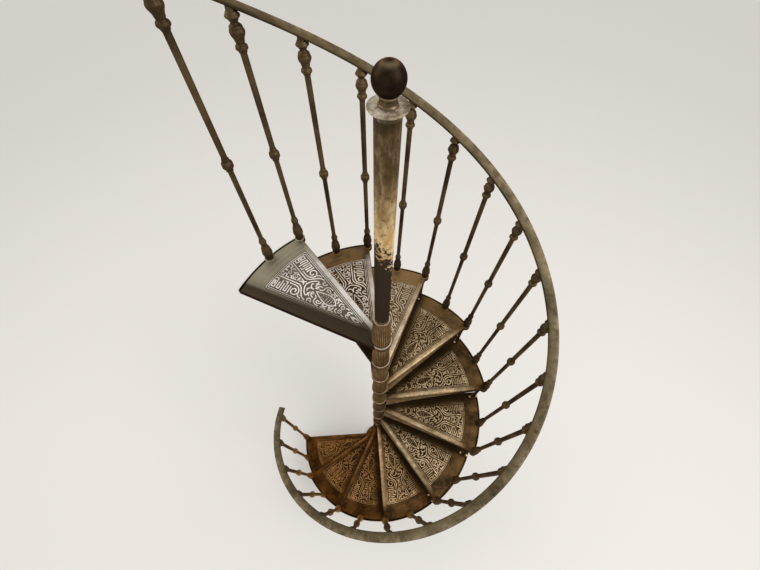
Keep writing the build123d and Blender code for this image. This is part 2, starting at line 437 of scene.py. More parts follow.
# The newel's old paint, cream over gold over iron. It is brown-gold and speckled at the top, pale
# cream lower down, and then flakes off to dark iron.
newelLook = {
    "cream": colour(220, 193, 143),
    "gold": colour(184, 148, 96),
    "coatEnds": (0.4, 0.6),
    "streak": 3.0,  # times as long as wide
    "runNoise": (70.0, 5.0, 0.65),
    "flakeNoise": (70.0, 8.0, 0.72),
    "flakeEdges": (-0.012, 0.012),
    "flakeBump": 0.6,
    "flakeDepth": 0.0006,
    "brown": colour(52, 38, 19),
    "brownHeights": (2.97, 3.16),
    "brownShare": 0.95,
    "brownRuns": (0.66, 0.46),
    "brownThin": 0.8,
    "stain": colour(84, 61, 34),
    "stainEnds": (0.5, 0.36),
    "stainShare": 0.6,
    # painted shadow of the cap: a ragged dark ring at the top of the shaft
    "capShadow": colour(46, 32, 16),
    "capShadowHeights": (3.262, 3.292),
    "capShadowShare": 0.85,
    "capShadowRagged": 0.06,
    "iron": colour(66, 55, 43),
    "ironTint": colour(128, 111, 88),
    "bareHeights": (2.98, 2.80),
    "bareLimits": (0.36, 0.68),
    "lean": (2.0, 0.0, 1.0),  # shares of X, Y and Z
    "foot": colour(142, 108, 76),
    "footHeights": (2.528, 2.525),
    "footRuns": (0.4, 0.55),
    "footThin": 0.35,
    "ironRough": 0.5,
    "paintRough": 0.6,
    "ironMetallic": 0.8,
    "paintMetallic": 0.15,
    "gloss": 0.25,
}


# The coat is gold or cream by its runs, browned towards the top, stained where the flake noise is
# low, and darkened at its upper edge by a painted shadow of the cap. It is whole where the flake
# noise is over a limit that rises down a leaning line, so the paint ends lower on one side, and iron
# shows elsewhere.
def newelPaint(name, look):
    material, tree, shader, place = startMaterial(name)
    squeeze = {"Vector": place, "Scale": (1.0, 1.0, 1 / look["streak"])}
    runs = noise(tree, addNode(tree, "ShaderNodeMapping", squeeze).outputs[0], look["runNoise"])
    flakes = noise(tree, place, look["flakeNoise"])
    height = verticalOf(tree, place)
    coat = blended(tree, ranged(tree, runs, look["coatEnds"]), look["gold"], look["cream"])
    brown = ranged(tree, height, look["brownHeights"], (0.0, look["brownShare"]))
    thinned = ranged(tree, runs, look["brownRuns"], (look["brownThin"], 1.0))
    coat = blended(tree, worked(tree, "MULTIPLY", brown, thinned), coat, look["brown"])
    stained = ranged(tree, flakes, look["stainEnds"], (0.0, look["stainShare"]))
    coat = blended(tree, stained, coat, look["stain"])
    # Painted shadow of the cap, made ragged by the flake noise.
    ragged = worked(tree, "MULTIPLY_ADD", flakes, look["capShadowRagged"], height)
    capShadow = ranged(tree, ragged, look["capShadowHeights"], (0.0, look["capShadowShare"]))
    coat = blended(tree, capShadow, coat, look["capShadow"])
    leaning = addNode(tree, "ShaderNodeVectorMath", {0: place, 1: look["lean"]}, operation="DOT_PRODUCT")
    limit = ranged(tree, leaning.outputs["Value"], look["bareHeights"], look["bareLimits"])
    whole = ranged(tree, worked(tree, "SUBTRACT", flakes, limit), look["flakeEdges"])
    surface = blended(tree, whole, look["iron"], coat)
    thinned = ranged(tree, runs, look["footRuns"], (look["footThin"], 1.0))
    foot = worked(tree, "MULTIPLY", ranged(tree, height, look["footHeights"]), thinned)
    surface = blended(tree, foot, surface, look["foot"])
    rough = ranged(tree, whole, (0.0, 1.0), (look["ironRough"], look["paintRough"]))
    metallic = ranged(tree, whole, (0.0, 1.0), (look["ironMetallic"], look["paintMetallic"]))
    tint = blended(tree, whole, look["ironTint"], look["cream"])
    tree.links.new(surface, shader.inputs["Base Color"])
    tree.links.new(rough, shader.inputs["Roughness"])
    tree.links.new(metallic, shader.inputs["Metallic"])
    tree.links.new(tint, shader.inputs["Specular Tint"])
    shader.inputs["Specular IOR Level"].default_value = look["gloss"]
    addBump(tree, shader, whole, look["flakeBump"], look["flakeDepth"])
    return material


oldPaint = newelPaint("flaking newel paint", newelLook)
capPaint = newelPaint(
    "pale cap paint",
    {
        **newelLook,
        "cream": colour(210, 200, 184),
        "gold": colour(172, 157, 132),
        "stain": colour(84, 66, 42),
        "stainShare": 0.85,
        "stainEnds": (0.56, 0.42),
        "flakeNoise": (30.0, 8.0, 0.72),
        "capShadowHeights": (3.4, 3.43),
        "brownHeights": (3.2850, 3.2835),
    },
)
print("materials ready")


# The tread's ornament, laid out flat: x out from the newel, y back from the nosing's radial line.
# A strap's four lines are shares of its width, and a stud's rings are shares of its radius.
ornament = {
    "middleAngle": 13.95,
    "recess": 0.0016,
    "fieldStart": 0.062,
    "fieldEnd": 0.5430,
    "plainFront": 0.0072,
    "outerGrooves": (0.5570, 0.5800),
    "strapHeight": 0.0016,
    "strapWidth": 0.0062,
    "fineWidth": 0.0044,
    "strapAcross": (0.5, 0.36, -0.36, -0.5),
    "strapEnd": 0.0022,  # length of the slope past each end
    "endWidth": 0.6,
    "mitreLimit": 0.6,  # least cosine of half a bend
    "rooted": 0.0001,  # how far straps reach into the ground
    "sideWear": 0.12,
    "crossing": 0.0002,  # how much higher the mirrored straps stand
    "ringPoints": 16,
    "studHeights": (-0.0017, -0.0002, 0.0),
    "studSizes": (1.0, 0.8, 0.5),
    "studSides": 10,
    "studWear": 0.9,
    "borders": ((0.0118, 0.5385), (0.0192, 0.5310)),  # distance from the sides, outer radius
    "borderWidth": 0.0038,
    "borderStart": 0.104,
    "borderPoints": 26,
}
patternSpan = math.radians(2 * ornament["middleAngle"])

# Strapwork on the front half of the plate, in millimetres. Curls run smoothly through their points,
# keys run straight between them, and a ring is a centre and a radius. The back half mirrors them
# about the pattern's middle line, where the waves of both halves cross.
straps = {
    "curls": [
        [(112, 26), (124, 25), (136, 28), (146, 34)],
        [(134, 33), (143, 36), (152, 38)],
        [(158, 25), (168, 28), (173, 35), (167, 39), (160, 35)],
        [(180, 25), (188, 27), (192, 31)],
        [(213, 28), (221, 32), (224, 40), (219, 47)],
        [(228, 26), (240, 29), (252, 26)],
        [(231, 57), (243, 49), (259, 45), (277, 48), (297, 57), (317, 70), (336, 84)],
        [(234, 45), (237, 37), (246, 33), (253, 38), (248, 42)],
        [(262, 26), (274, 28), (286, 26)],
        [(262, 38), (270, 34), (280, 36), (284, 42), (277, 43)],
        [(292, 48), (294, 39), (304, 35), (312, 40), (309, 47), (302, 45)],
        [(298, 26), (312, 28), (322, 36), (324, 47), (322, 58), (332, 68)],
        [(334, 27), (336, 37), (344, 43), (352, 37), (350, 27)],
        [(336, 52), (344, 56), (350, 66), (348, 77)],
        [(354, 52), (360, 62), (357, 72)],
        [(362, 27), (375, 33), (387, 46), (396, 62), (405, 76), (419, 84), (440, 85)],
        [(392, 96), (390, 80), (383, 63), (371, 50), (363, 54), (366, 64)],
        [(352, 88), (366, 88), (376, 80), (374, 71)],
        [(382, 26), (394, 30), (398, 39)],
        [
            (458, 74), (440, 74), (421, 72), (407, 62), (401, 48), (407, 35), (420, 30), (432, 36),
            (434, 49), (425, 58), (415, 54), (416, 45),
        ],
        [(402, 90), (406, 98), (416, 99), (426, 98)],
        [(436, 97), (432, 105), (434, 112)],
    ],
    "keys": [
        [(444, 26), (444, 62)],
        [(455, 62), (455, 30), (466, 30), (466, 74), (478, 74)],
        [(477, 26), (477, 62)],
        [(440, 85), (520, 86)],
        [(488, 74), (488, 30), (499, 30), (499, 62)],
        [(524, 74), (510, 74), (510, 30), (524, 30), (524, 60), (517, 60), (517, 44)],
        [(444, 97), (468, 97), (468, 107), (478, 107)],
        [(478, 96), (492, 96), (492, 108), (504, 108), (504, 96), (518, 96)],
        [(515, 107), (515, 118)],
        [(504, 124), (517, 125)],
    ],
    "rings": [(203, 39.5, 7.6), (455, 113, 10.5), (486, 121, 7.4), (344, 70, 4.4)],
    "dots": [
        (203, 39.5, 2.6), (247, 54, 2.4), (258, 53, 2.4), (269, 54, 2.4), (280, 58, 2.4),
        (291, 63, 2.4), (302, 69, 2.4), (256, 61, 2.2), (267, 62, 2.2), (278, 66, 2.2), (455, 113, 4.0),
        (486, 121, 2.8), (386, 38, 2.8), (344, 33, 2.6),
    ],
}


# Angle at a radius of a line that runs some way before the next nosing's radial line.
def backAngle(radius, before):
    return np.radians(flight["step"]) - frontAngle(radius, before)


# Angle at a radius of a line that runs some way behind the nosing's radial line.
def frontAngle(radius, behind):
    return np.arcsin(np.clip(behind / radius, -1, 1))


# Millimetres to metres.
def inMetres(points):
    return np.array(points) / 1000


# A smooth curve through points: each span is the cubic that leaves and arrives along the line
# between its neighbours (Catmull-Rom).
def smoothed(points, samples=5):
    ends = 2 * points[0] - points[1], 2 * points[-1] - points[-2]
    around = np.concatenate([ends[0][None], points, ends[1][None]])
    before, start, end, after = around[:-3, None], around[1:-2, None], around[2:-1, None], around[3:, None]
    t = np.linspace(0, 1, samples, endpoint=False)[None, :, None]
    curve = start + 0.5 * (end - before) * t
    curve = curve + 0.5 * (2 * before - 5 * start + 4 * end - after) * t**2
    curve = curve + 0.5 * (3 * start - before - 3 * end + after) * t**3
    return np.concatenate([curve.reshape(-1, 2), points[-1:]])


# Mirrored about the line through the newel at half the pattern's angle.
def mirrored(points):
    cosine, sine = math.cos(patternSpan), math.sin(patternSpan)
    return points @ np.array([[cosine, sine], [sine, -cosine]])


# A strap on the plate: point = path + mitred sideways x offset x width. It stands on the recessed
# ground with a flat top, and slopes down to nothing just past both ends.
def strap(path, width, lift=0.0):
    look = ornament
    along = np.diff(path, axis=0)
    along /= np.linalg.norm(along, axis=1, keepdims=True)
    before, after = np.concatenate([along[:1], along]), np.concatenate([along, along[-1:]])
    middle = before + after
    middle /= np.linalg.norm(middle, axis=1, keepdims=True)
    stretch = 1 / np.maximum((middle * after).sum(axis=1, keepdims=True), look["mitreLimit"])
    sideways = np.stack([-middle[:, 1], middle[:, 0]], axis=-1) * stretch
    sideways = np.concatenate([sideways[:1], sideways, sideways[-1:]])[:, None]
    ends = along * look["strapEnd"]
    path = np.concatenate([path[:1] - ends[:1], path, path[-1:] + ends[-1:]])
    raised = np.ones((len(path), 1))
    raised[[0, -1]] = 0.0
    offsets = width * np.array(look["strapAcross"]) * (look["endWidth"] + (1 - look["endWidth"]) * raised)
    tops = np.array([0.0, 1.0, 1.0, 0.0]) * raised
    height = tops * (look["strapHeight"] + lift) - look["recess"] - look["rooted"]
    wearAndShading = look["sideWear"] + (1 - look["sideWear"]) * tops
    return (lifted(path[:, None] + sideways * offsets[..., None], height), wearAndShading, False)


# A low turned stud on the plate.
def stud(x, y, radius):
    look = ornament
    sizes = radius * np.array(look["studSizes"])
    return turnedAt(x, y, look["studHeights"], sizes, look["studSides"], look["studWear"])


# Both halves' straps; the mirrored ones stand a hair higher, so that crossings show one on top.
def strapGrids():
    look = ornament
    paths = [smoothed(inMetres(points)) for points in straps["curls"]]
    paths += [inMetres(points) for points in straps["keys"]]
    grids = []
    for path in paths:
        grids.append(strap(path, look["strapWidth"]))
        grids.append(strap(mirrored(path), look["strapWidth"], look["crossing"]))
    turn = np.radians(np.linspace(0, 360, look["ringPoints"]))
    for x, y, radius in straps["rings"]:
        path = inMetres(np.array([x, y]) + flatPoint(radius, turn))
        grids.append(strap(path, look["fineWidth"], look["crossing"] / 2))
        grids.append(strap(mirrored(path), look["fineWidth"]))
    for x, y, radius in straps["dots"]:
        centre = inMetres([x, y])
        for place in (centre, mirrored(centre)):
            grids.append(stud(*place, inMetres(radius)))
    for line, outer in look["borders"]:
        first = math.asin(line / outer)
        start = np.array([[look["borderStart"], line]])
        arc = flatPoint(outer, np.linspace(first, patternSpan - first, look["borderPoints"]))
        grids.append(strap(np.concatenate([start, arc, mirrored(start)]), look["borderWidth"]))
    return grids


# The tread's plate and its rolled nosing. Each row is an arc of one radius; its columns go round
# the section: the back edge, the flat top with its sunk field, the nosing and the hollow underside.
plate = {
    "thickness": 0.009,
    "hubRadius": 0.041,
    "evenFrom": 0.075,
    "evenBeforeEnd": 0.012,
    "evenRows": 72,
    "outerRadii": (0.592, 0.608, 0.622, 0.633),
    "fieldRamp": 0.002,
    "fieldColumns": 14,
    "fieldWear": -0.5,
    "endWall": 0.0008,
    "sideWall": 0.0006,
    "wallWear": 0.3,
    "grooveRows": (-0.0022, -0.0010, 0.0010, 0.0022),
    "grooveHalf": 0.0015,
    "grooveShare": 0.6,
    "bandWear": 0.02,
    "rimDepth": 0.030,
    "rimThickness": 0.010,
    "rimBevel": 0.001,
    "rimColumns": 40,
    "rimRound": 0.002,
    "rimFrom": 0.004,
    "rimTop": [(0.012, 0.0, 0.02), (0.0025, 0.0, 0.1), (0.0007, -0.0007, 0.3), (0.0, -0.0025, 0.1)],
    # painted shade on the rim's underside
    "rimShading": [-0.3, -0.5, -0.8, -0.8],
    "backAtHub": 0.042,
    "backAtRim": 0.020,
    "backLip": [(0.0, -0.002), (0.0006, -0.0006), (0.002, 0.0)],  # inset, height
    "backLines": (0.005, 0.014, 0.021),  # before the next nosing's line
    "backWear": 0.1,
    "columnGap": 0.0003,  # radians
    "frontLine": 0.004,
    "frontWears": (0.9, 0.85),
    "nosingOverhang": 0.018,
    "nosingCentre": (-0.0075, -0.0125),
    "nosingRadii": (0.0105, 0.0125),
    "nosingTurn": (100, 270, 12),  # from, to, points
    "nosingWornAt": [0.05, 0.12, 0.40, 0.52, 0.60],  # radii
    "nosingWorn": [0.62, 0.80, 0.80, 0.5, -0.2],
    "rollWornAt": [140.0, 195.0],  # angles round the nosing
    "rollWorn": [1.0, -0.1],
    "hollow": (0.0005, -0.0210),  # behind the nosing's line, height
    "hollowEnd": 0.0045,
}

# How much painted shade lies at distances before the next nosing's line, where that nosing shades
# the plate and straps under it.
nosingShade = {"distances": [0.014, 0.030, 0.045, 0.065], "shares": [0.9, 0.42, 0.18, 0.0]}


# Wear and shading darkened by painted shade: wear x (1 - share) - share.
def withPaintedShade(wearAndShading, share):
    return wearAndShading * (1 - share) - share


# Darkens what lies under the next nosing with painted shade, by its distance before that nosing's
# line.
def shadedUnderNosing(grids):
    shadedGrids = []
    for grid, wearAndShading, closed in grids:
        radius = np.hypot(grid[..., 0], grid[..., 1])
        angle = np.arctan2(grid[..., 1], grid[..., 0])
        before = radius * np.sin(math.radians(flight["step"]) - angle)
        share = np.interp(before, nosingShade["distances"], nosingShade["shares"])
        shadedGrids.append((grid, withPaintedShade(wearAndShading, share), closed))
    return shadedGrids


# Rows are arcs from the hub out; each column is a line's angle at every radius, with its height.
def plateGrids():
    look = plate
    start, end, edge = ornament["fieldStart"], ornament["fieldEnd"], ornament["plainFront"]
    grooves, wall = ornament["outerGrooves"], look["sideWall"]
    radius = np.concatenate(
        [
            [look["hubRadius"], start, start + look["fieldRamp"]],
            np.linspace(look["evenFrom"], end - look["evenBeforeEnd"], look["evenRows"]),
            [end - look["endWall"], end + look["endWall"]],
            *(groove + np.array(look["grooveRows"]) for groove in grooves),
            look["outerRadii"],
        ]
    )
    sunk = ((radius > start + look["fieldRamp"] / 2) & (radius < end)).astype(float)
    fieldWear = np.where(sunk > 0, look["fieldWear"], look["bandWear"])
    for groove in grooves:
        sunk += look["grooveShare"] * (np.abs(radius - groove) < look["grooveHalf"])
    groundHeight = -ornament["recess"] * sunk
    grooveHeight = groundHeight * (radius > end)
    beyond = look["backAtHub"] + (look["backAtRim"] - look["backAtHub"]) * radius / flight["treadRadius"]
    worn = np.interp(radius, look["nosingWornAt"], look["nosingWorn"])
    columns = []

    def addColumn(angle, height, wearAndShading=0.0):
        columns.append(np.broadcast_arrays(angle, height, wearAndShading))

    def fromFront(behind, height, wearAndShading=0.0):
        addColumn(frontAngle(radius, behind), height, wearAndShading)

    inner, deep, bevel = look["rimThickness"], look["rimDepth"], look["rimBevel"]
    back = [(inner, -look["thickness"]), (inner, -deep), (bevel, -deep), (0.0, bevel - deep)]
    for inset, height in back + look["backLip"]:
        addColumn(backAngle(radius, inset - beyond), height)
    patternBack = patternSpan - frontAngle(radius, edge - wall)
    for number, before in enumerate(look["backLines"]):
        clear = patternBack + look["columnGap"] * (len(look["backLines"]) - number)
        addColumn(np.maximum(backAngle(radius, before), clear), 0.0, look["backWear"])
    addColumn(patternBack, grooveHeight, look["wallWear"])
    high = frontAngle(radius, edge + wall)
    low = patternSpan - high
    for share in np.linspace(0, 1, look["fieldColumns"]):
        addColumn(low + (high - low) * share, groundHeight, fieldWear)
    for behind, share in zip((edge - wall, look["frontLine"]), look["frontWears"]):
        fromFront(behind, grooveHeight, share * worn)
    for turn in np.linspace(*look["nosingTurn"]):
        y, z = look["nosingCentre"] + look["nosingRadii"] * flatPoint(1.0, math.radians(turn))
        fromFront(y, z, np.interp(turn, look["rollWornAt"], look["rollWorn"]) * worn)
    fromFront(*look["hollow"])
    fromFront(look["hollowEnd"], -look["thickness"])
    angles, heights, wearsAndShading = np.moveaxis(np.array(columns), 0, -1)
    return [(lifted(flatPoint(radius[:, None], angles), heights), wearsAndShading, True), rimGrid()]


# The rim under the outer edge: an L of the plate's end, carried along the outer arc. Its section is
# the inset from the edge, the height and the wear and shading; its underside is darkened as painted
# shade.
def rimGrid():
    look = plate
    outer, thick, deep = flight["treadRadius"], look["rimThickness"], look["rimDepth"]
    first = -math.asin((look["nosingOverhang"] - look["rimRound"]) / outer)
    last = math.radians(flight["step"]) + math.asin(look["backAtRim"] / outer)
    bevel = look["rimRound"]
    corners = [(0.0, bevel - deep), (bevel, -deep), (thick, -deep), (thick, -look["rimFrom"])]
    section = look["rimTop"] + [(*corner, wearAndShading) for corner, wearAndShading in zip(corners, look["rimShading"])]
    inset, height, wearAndShading = np.array(section).T
    angle = np.linspace(first, last, look["rimColumns"])[:, None]
    return capped(lifted(flatPoint(outer - inset, angle), height), wearAndShading)


# The apron under the nosing: a thin wall whose lower edge is a hollow arc with a bead along it.
apron = {
    "front": -0.013,
    "thickness": 0.009,
    "hubDepth": 0.168,
    "middleDepth": 0.088,
    "outerDepth": 0.066,
    "innerX": 0.046,
    "outerX": 0.607,
    "intoHub": 0.006,
    "rowsOut": 64,
    "columnsDown": 9,
    "beadRadius": 0.006,
    "beadTurn": (150, 390, 9),  # from, to, points
    "beadWear": 0.25,
    "beadShade": 0.1,
    # Painted light and shade: the front is lit by depth from its top (the first depth) down, the bead is
    # darker behind, the back is dark, and towards the outer end a share of painted shade.
    "shadingDepths": [0.014, 0.026, 0.045, 0.070, 0.100, 0.150],
    "wearsAndShading": [0.5, 0.6, 0.55, 0.75, 0.95, 0.7],
    "backWear": -0.6,
    "shadedX": [0.40, 0.52],
    "shadedShares": [0.0, 0.75],
}


# Depth at x is the circle through the three named depths.
def apronDepth(x):
    look = apron
    x1, x2, x3 = look["innerX"], (look["innerX"] + look["outerX"]) / 2, look["outerX"]
    y1, y2, y3 = look["hubDepth"], look["middleDepth"], look["outerDepth"]
    system = 2 * np.array([[x2 - x1, y2 - y1], [x3 - x1, y3 - y1]])
    right = np.array([x2**2 + y2**2 - x1**2 - y1**2, x3**2 + y3**2 - x1**2 - y1**2])
    centreX, centreY = np.linalg.solve(system, right)
    reach = math.hypot(x1 - centreX, y1 - centreY)
    return centreY - np.sign(centreY - y2) * np.sqrt(reach**2 - (x - centreX) ** 2)


# Rows run out along the apron and columns down its front, round the bead and up its back.
def apronGrid():
    look = apron
    x = np.linspace(look["innerX"] - look["intoHub"], look["outerX"], look["rowsOut"])
    depth = apronDepth(x)[:, None]
    bead, front, back = look["beadRadius"], look["front"], look["front"] + look["thickness"]
    turn = np.radians(np.linspace(*look["beadTurn"]))
    top = look["shadingDepths"][0]
    down = top + np.linspace(0, 1, look["columnsDown"]) * (depth - 2 * bead - top)
    low = depth - bead - bead * np.sin(turn)
    behind = np.ones_like(depth)
    acrossBead = (front + back) / 2 + bead * np.cos(turn)
    y = np.concatenate([np.full(look["columnsDown"], front), acrossBead, [back]])
    z = -np.concatenate([down, low, behind * top], axis=1)
    grid = np.stack(np.broadcast_arrays(x[:, None], y, z), axis=-1)
    # Painted light and shade: the front lit by depth, the bead darker behind, the back and the outer end
    # darkened.
    beadWear = np.broadcast_to(-look["beadWear"] * np.cos(turn) - look["beadShade"], low.shape)
    frontWear = np.interp(down, look["shadingDepths"], look["wearsAndShading"])
    wearAndShading = np.concatenate([frontWear, beadWear, behind * look["backWear"]], axis=1)
    darkening = np.interp(x, look["shadedX"], look["shadedShares"])[:, None]
    return capped(grid, withPaintedShade(wearAndShading, darkening))


# The leg at the outer front corner: a turned post down to the tread below, on a small bolted foot.
leg = {
    "place": (0.607, -0.0085),
    "profile": [
        (-0.205, 0.0150), (-0.196, 0.0150), (-0.188, 0.0105), (-0.178, 0.0125), (-0.170, 0.0095),
        (-0.100, 0.0085), (-0.040, 0.0095), (-0.032, 0.0125), (-0.024, 0.0110), (-0.010, 0.0110),
    ],
    "rows": 44,
    "sides": 20,
    "wornRadii": [0.009, 0.015],
    "worn": [-0.25, 0.15],
    "footFrom": 0.578,
    "footTo": 0.636,
    "footWidth": 0.024,
    "footDepth": 0.007,
    "footSides": 24,
    "footBevel": 0.0015,
    "footTop": (0.972, 0.93),
    # painted shade on the foot, which stands under the nosing of the tread above
    "footShade": -0.35,
    "bolts": (0.587, 0.627),
    "headRadius": 0.0068,
    "headHeight": 0.0048,
    "headBevel": 0.001,
    "headTop": 0.82,
    "headWear": 3.0,
}


# The post's radius comes from its profile. The foot's outline is two half circles whose centres
# stand apart along x, drawn in at the top by its bevel.
def legGrids():
    look = leg
    x, y = look["place"]
    heights = np.linspace(look["profile"][0][0], look["profile"][-1][0], look["rows"])
    radius = turnedRadius(look["profile"], heights)
    wearAndShading = np.interp(radius, look["wornRadii"], look["worn"])[:, None]
    grids = [turnedAt(x, y, heights, radius, look["sides"], wearAndShading)]
    half = look["footWidth"] / 2
    turn = (np.arange(look["footSides"]) + 0.5) * 2 * np.pi / look["footSides"]
    outline = flatPoint(half, turn)
    outline[:, 0] += np.sign(outline[:, 0]) * ((look["footTo"] - look["footFrom"]) / 2 - half)
    middle = np.array([(look["footFrom"] + look["footTo"]) / 2, y, -flight["rise"]])
    top = look["footDepth"]
    levels = [((1.0, 1.0), 0.0), ((1.0, 1.0), top - look["footBevel"]), (look["footTop"], top)]
    foot = np.array([lifted(outline * size, level) for size, level in levels])
    grids.append(capped(foot + middle, look["footShade"]))
    return grids + [boltHead(bolt, y, top - flight["rise"], look) for bolt in look["bolts"]]


# Round lugs under the plate where the balusters stand, with a low pad on top: height, radius, wear
# and shading; the underside is darkened as painted shade.
lug = {
    "section": [
        (-0.024, 0.0190, -0.8), (-0.021, 0.0230, -0.5), (0.0, 0.0230, -0.2), (0.0015, 0.0215, 0.0),
        (0.0025, 0.0195, 0.0),
    ],
    "sides": 28,
}


# One lug under each baluster's foot.
def lugGrids():
    heights, radius, wearAndShading = np.array(lug["section"]).T
    angles = np.radians([flight["cornerAngle"], flight["middleAngle"]])
    places = flatPoint(flight["footRadius"], angles)
    return [turnedAt(x, y, heights, radius, lug["sides"], wearAndShading[:, None]) for x, y in places]


# The hub: a boss level with the plate (height, radius, wear) and a fluted sleeve that narrows up to
# the next boss. Radius = foot less (foot - top) x share of the height to a power, less a groove
# between the reeds.
hub = {
    "bore": 0.0255,
    "boss": [
        (-0.030, 0.0400, -0.3), (-0.029, 0.0415, 0.0), (-0.027, 0.0420, 0.1), (-0.003, 0.0420, 0.4),
        (-0.001, 0.0412, 0.9), (0.0, 0.0400, 0.7),
    ],
    "bossSides": 64,
    "rows": [(0.0, 0.018, 7), (0.030, 0.166, 12), (0.170, 0.1819, 7)],  # each from, to, rows
    "sleeveFoot": 0.0382,
    "sleeveTop": 0.0282,
    "sleevePower": 1.5,
    "sleeveWear": 0.15,
    "flutes": 30,
    "sidesPerFlute": 6,
    "flutePower": 0.6,
    "fluteDepth": 0.0016,
    "fluteFrom": 0.010,
    "fluteTo": 0.174,
    "fluteEnd": 0.006,
    "reedWear": 0.95,
    # the grooves and the sleeve's foot are darker
    "grooveDarkening": 0.6,
    "footDarkening": 0.5,
    "beadSize": 0.0008,
    "beadRise": 0.003,
    "beadWear": 0.5,
    "topWear": 0.4,
}


# A turned ring closed through the hub's bore, whose rings go before and after the outside's rows.
def bored(heights, radius, columns, wearAndShading, topWear):
    outside = revolved(heights, radius, columns)
    low, top = revolved(heights[[0, -1]], np.full(2, hub["bore"]), columns)[:, None]
    plain = np.zeros((1, columns))
    wearAndShading = np.concatenate([plain, np.broadcast_to(wearAndShading, outside.shape[:2]), plain + topWear, plain])
    return (np.concatenate([low, outside, top, low]), wearAndShading, True)


# Reed = |sin| of half the flute's angle to a power: 1 on the reeds and 0 in the grooves.
def hubGrids():
    look = hub
    columns = look["flutes"] * look["sidesPerFlute"]
    angle = np.arange(columns) * 2 * np.pi / columns
    heights = np.concatenate([np.linspace(*row) for row in look["rows"]])[:, None]
    narrowed = (heights / heights[-1]) ** look["sleevePower"]
    bead = np.clip((heights - look["fluteTo"]) / look["beadRise"], 0, 1)
    reed = np.abs(np.sin(angle * look["flutes"] / 2)) ** look["flutePower"]
    rise = np.clip((heights - look["fluteFrom"]) / look["fluteEnd"], 0, 1)
    rise = rise * np.clip((look["fluteTo"] - heights) / look["fluteEnd"], 0, 1)
    radius = look["sleeveFoot"] - (look["sleeveFoot"] - look["sleeveTop"]) * narrowed
    radius = radius + look["beadSize"] * bead - look["fluteDepth"] * rise * (1 - reed)
    wearAndShading = look["sleeveWear"] + (look["reedWear"] * reed - look["grooveDarkening"]) * rise
    wearAndShading = wearAndShading + look["beadWear"] * bead - look["footDarkening"] * np.clip(1 - heights / look["fluteEnd"], 0, 1)
    sleeve = bored(heights[:, 0], radius, columns, wearAndShading, look["topWear"])
    heights, radius, wearAndShading = np.array(look["boss"]).T
    return [sleeve, bored(heights, radius, look["bossSides"], wearAndShading[:, None], 0.0)]


treadGrids = shadedUnderNosing(plateGrids() + strapGrids())
treadGrids += [apronGrid()] + legGrids() + lugGrids() + hubGrids()
treadMesh = joinGrids("tread", treadGrids)
for label, angle, height in treadPlaces():
    mesh = placedCopy(treadMesh, f"treadCasting.{label}", angle, height)
    addPiece(f"treadCasting.{label}", mesh, treadIron, f"tread_{label}")
print("treads:", flight["treads"], "with", len(treadMesh.polygons), "faces each")

# The balusters. Height is taken along the leaning axis from the tread; the foot and the head keep
# their lengths and the two rods between them stretch.
baluster = {
    "foot": [
        (-0.001, 0.0180), (0.005, 0.0185), (0.011, 0.0160), (0.018, 0.0185), (0.040, 0.0222),
        (0.062, 0.0195), (0.088, 0.0135), (0.097, 0.0125), (0.105, 0.0150), (0.112, 0.0155),
        (0.119, 0.0125), (0.123, 0.0125), (0.131, 0.0095),
    ],
    "knop": [
        (-0.027, 0.0095), (-0.022, 0.0125), (-0.018, 0.0125), (-0.006, 0.0188), (0.006, 0.0188),
        (0.018, 0.0125), (0.022, 0.0125), (0.027, 0.0100),
    ],
    "knopShare": 0.50,  # of the height to the rail
    "head": [
        (-0.116, 0.0100), (-0.110, 0.0125), (-0.101, 0.0180), (-0.096, 0.0172), (-0.090, 0.0120),
        (-0.084, 0.0138), (-0.062, 0.0218), (-0.050, 0.0185), (-0.039, 0.0102), (-0.034, 0.0135),
        (-0.025, 0.0208), (-0.017, 0.0165), (-0.011, 0.0125), (0.001, 0.0120),
    ],
    "vaseAt": -0.064,  # from the upper end, as the head's profile
    "tenonFrom": -0.014,
    "leaves": 7,
    "leafDepth": 0.0016,
    "vaseReach": 0.014,
    # the sunk leaves are darker
    "leafDarkening": 0.6,
    "sides": 28,
    "rodOver": 0.1,  # a longer span is a rod
    "longOver": 0.008,
    "rowsPerSpan": {"rod": 3, "long": 6, "short": 4},
    "wornRadii": [0.011, 0.023],
    "leastWorn": 0.15,
    # darker at the foot, fading out upwards
    "footDarkening": 0.8,
    "darkeningHeight": 0.05,
    "sharpAngle": 60.0,
}


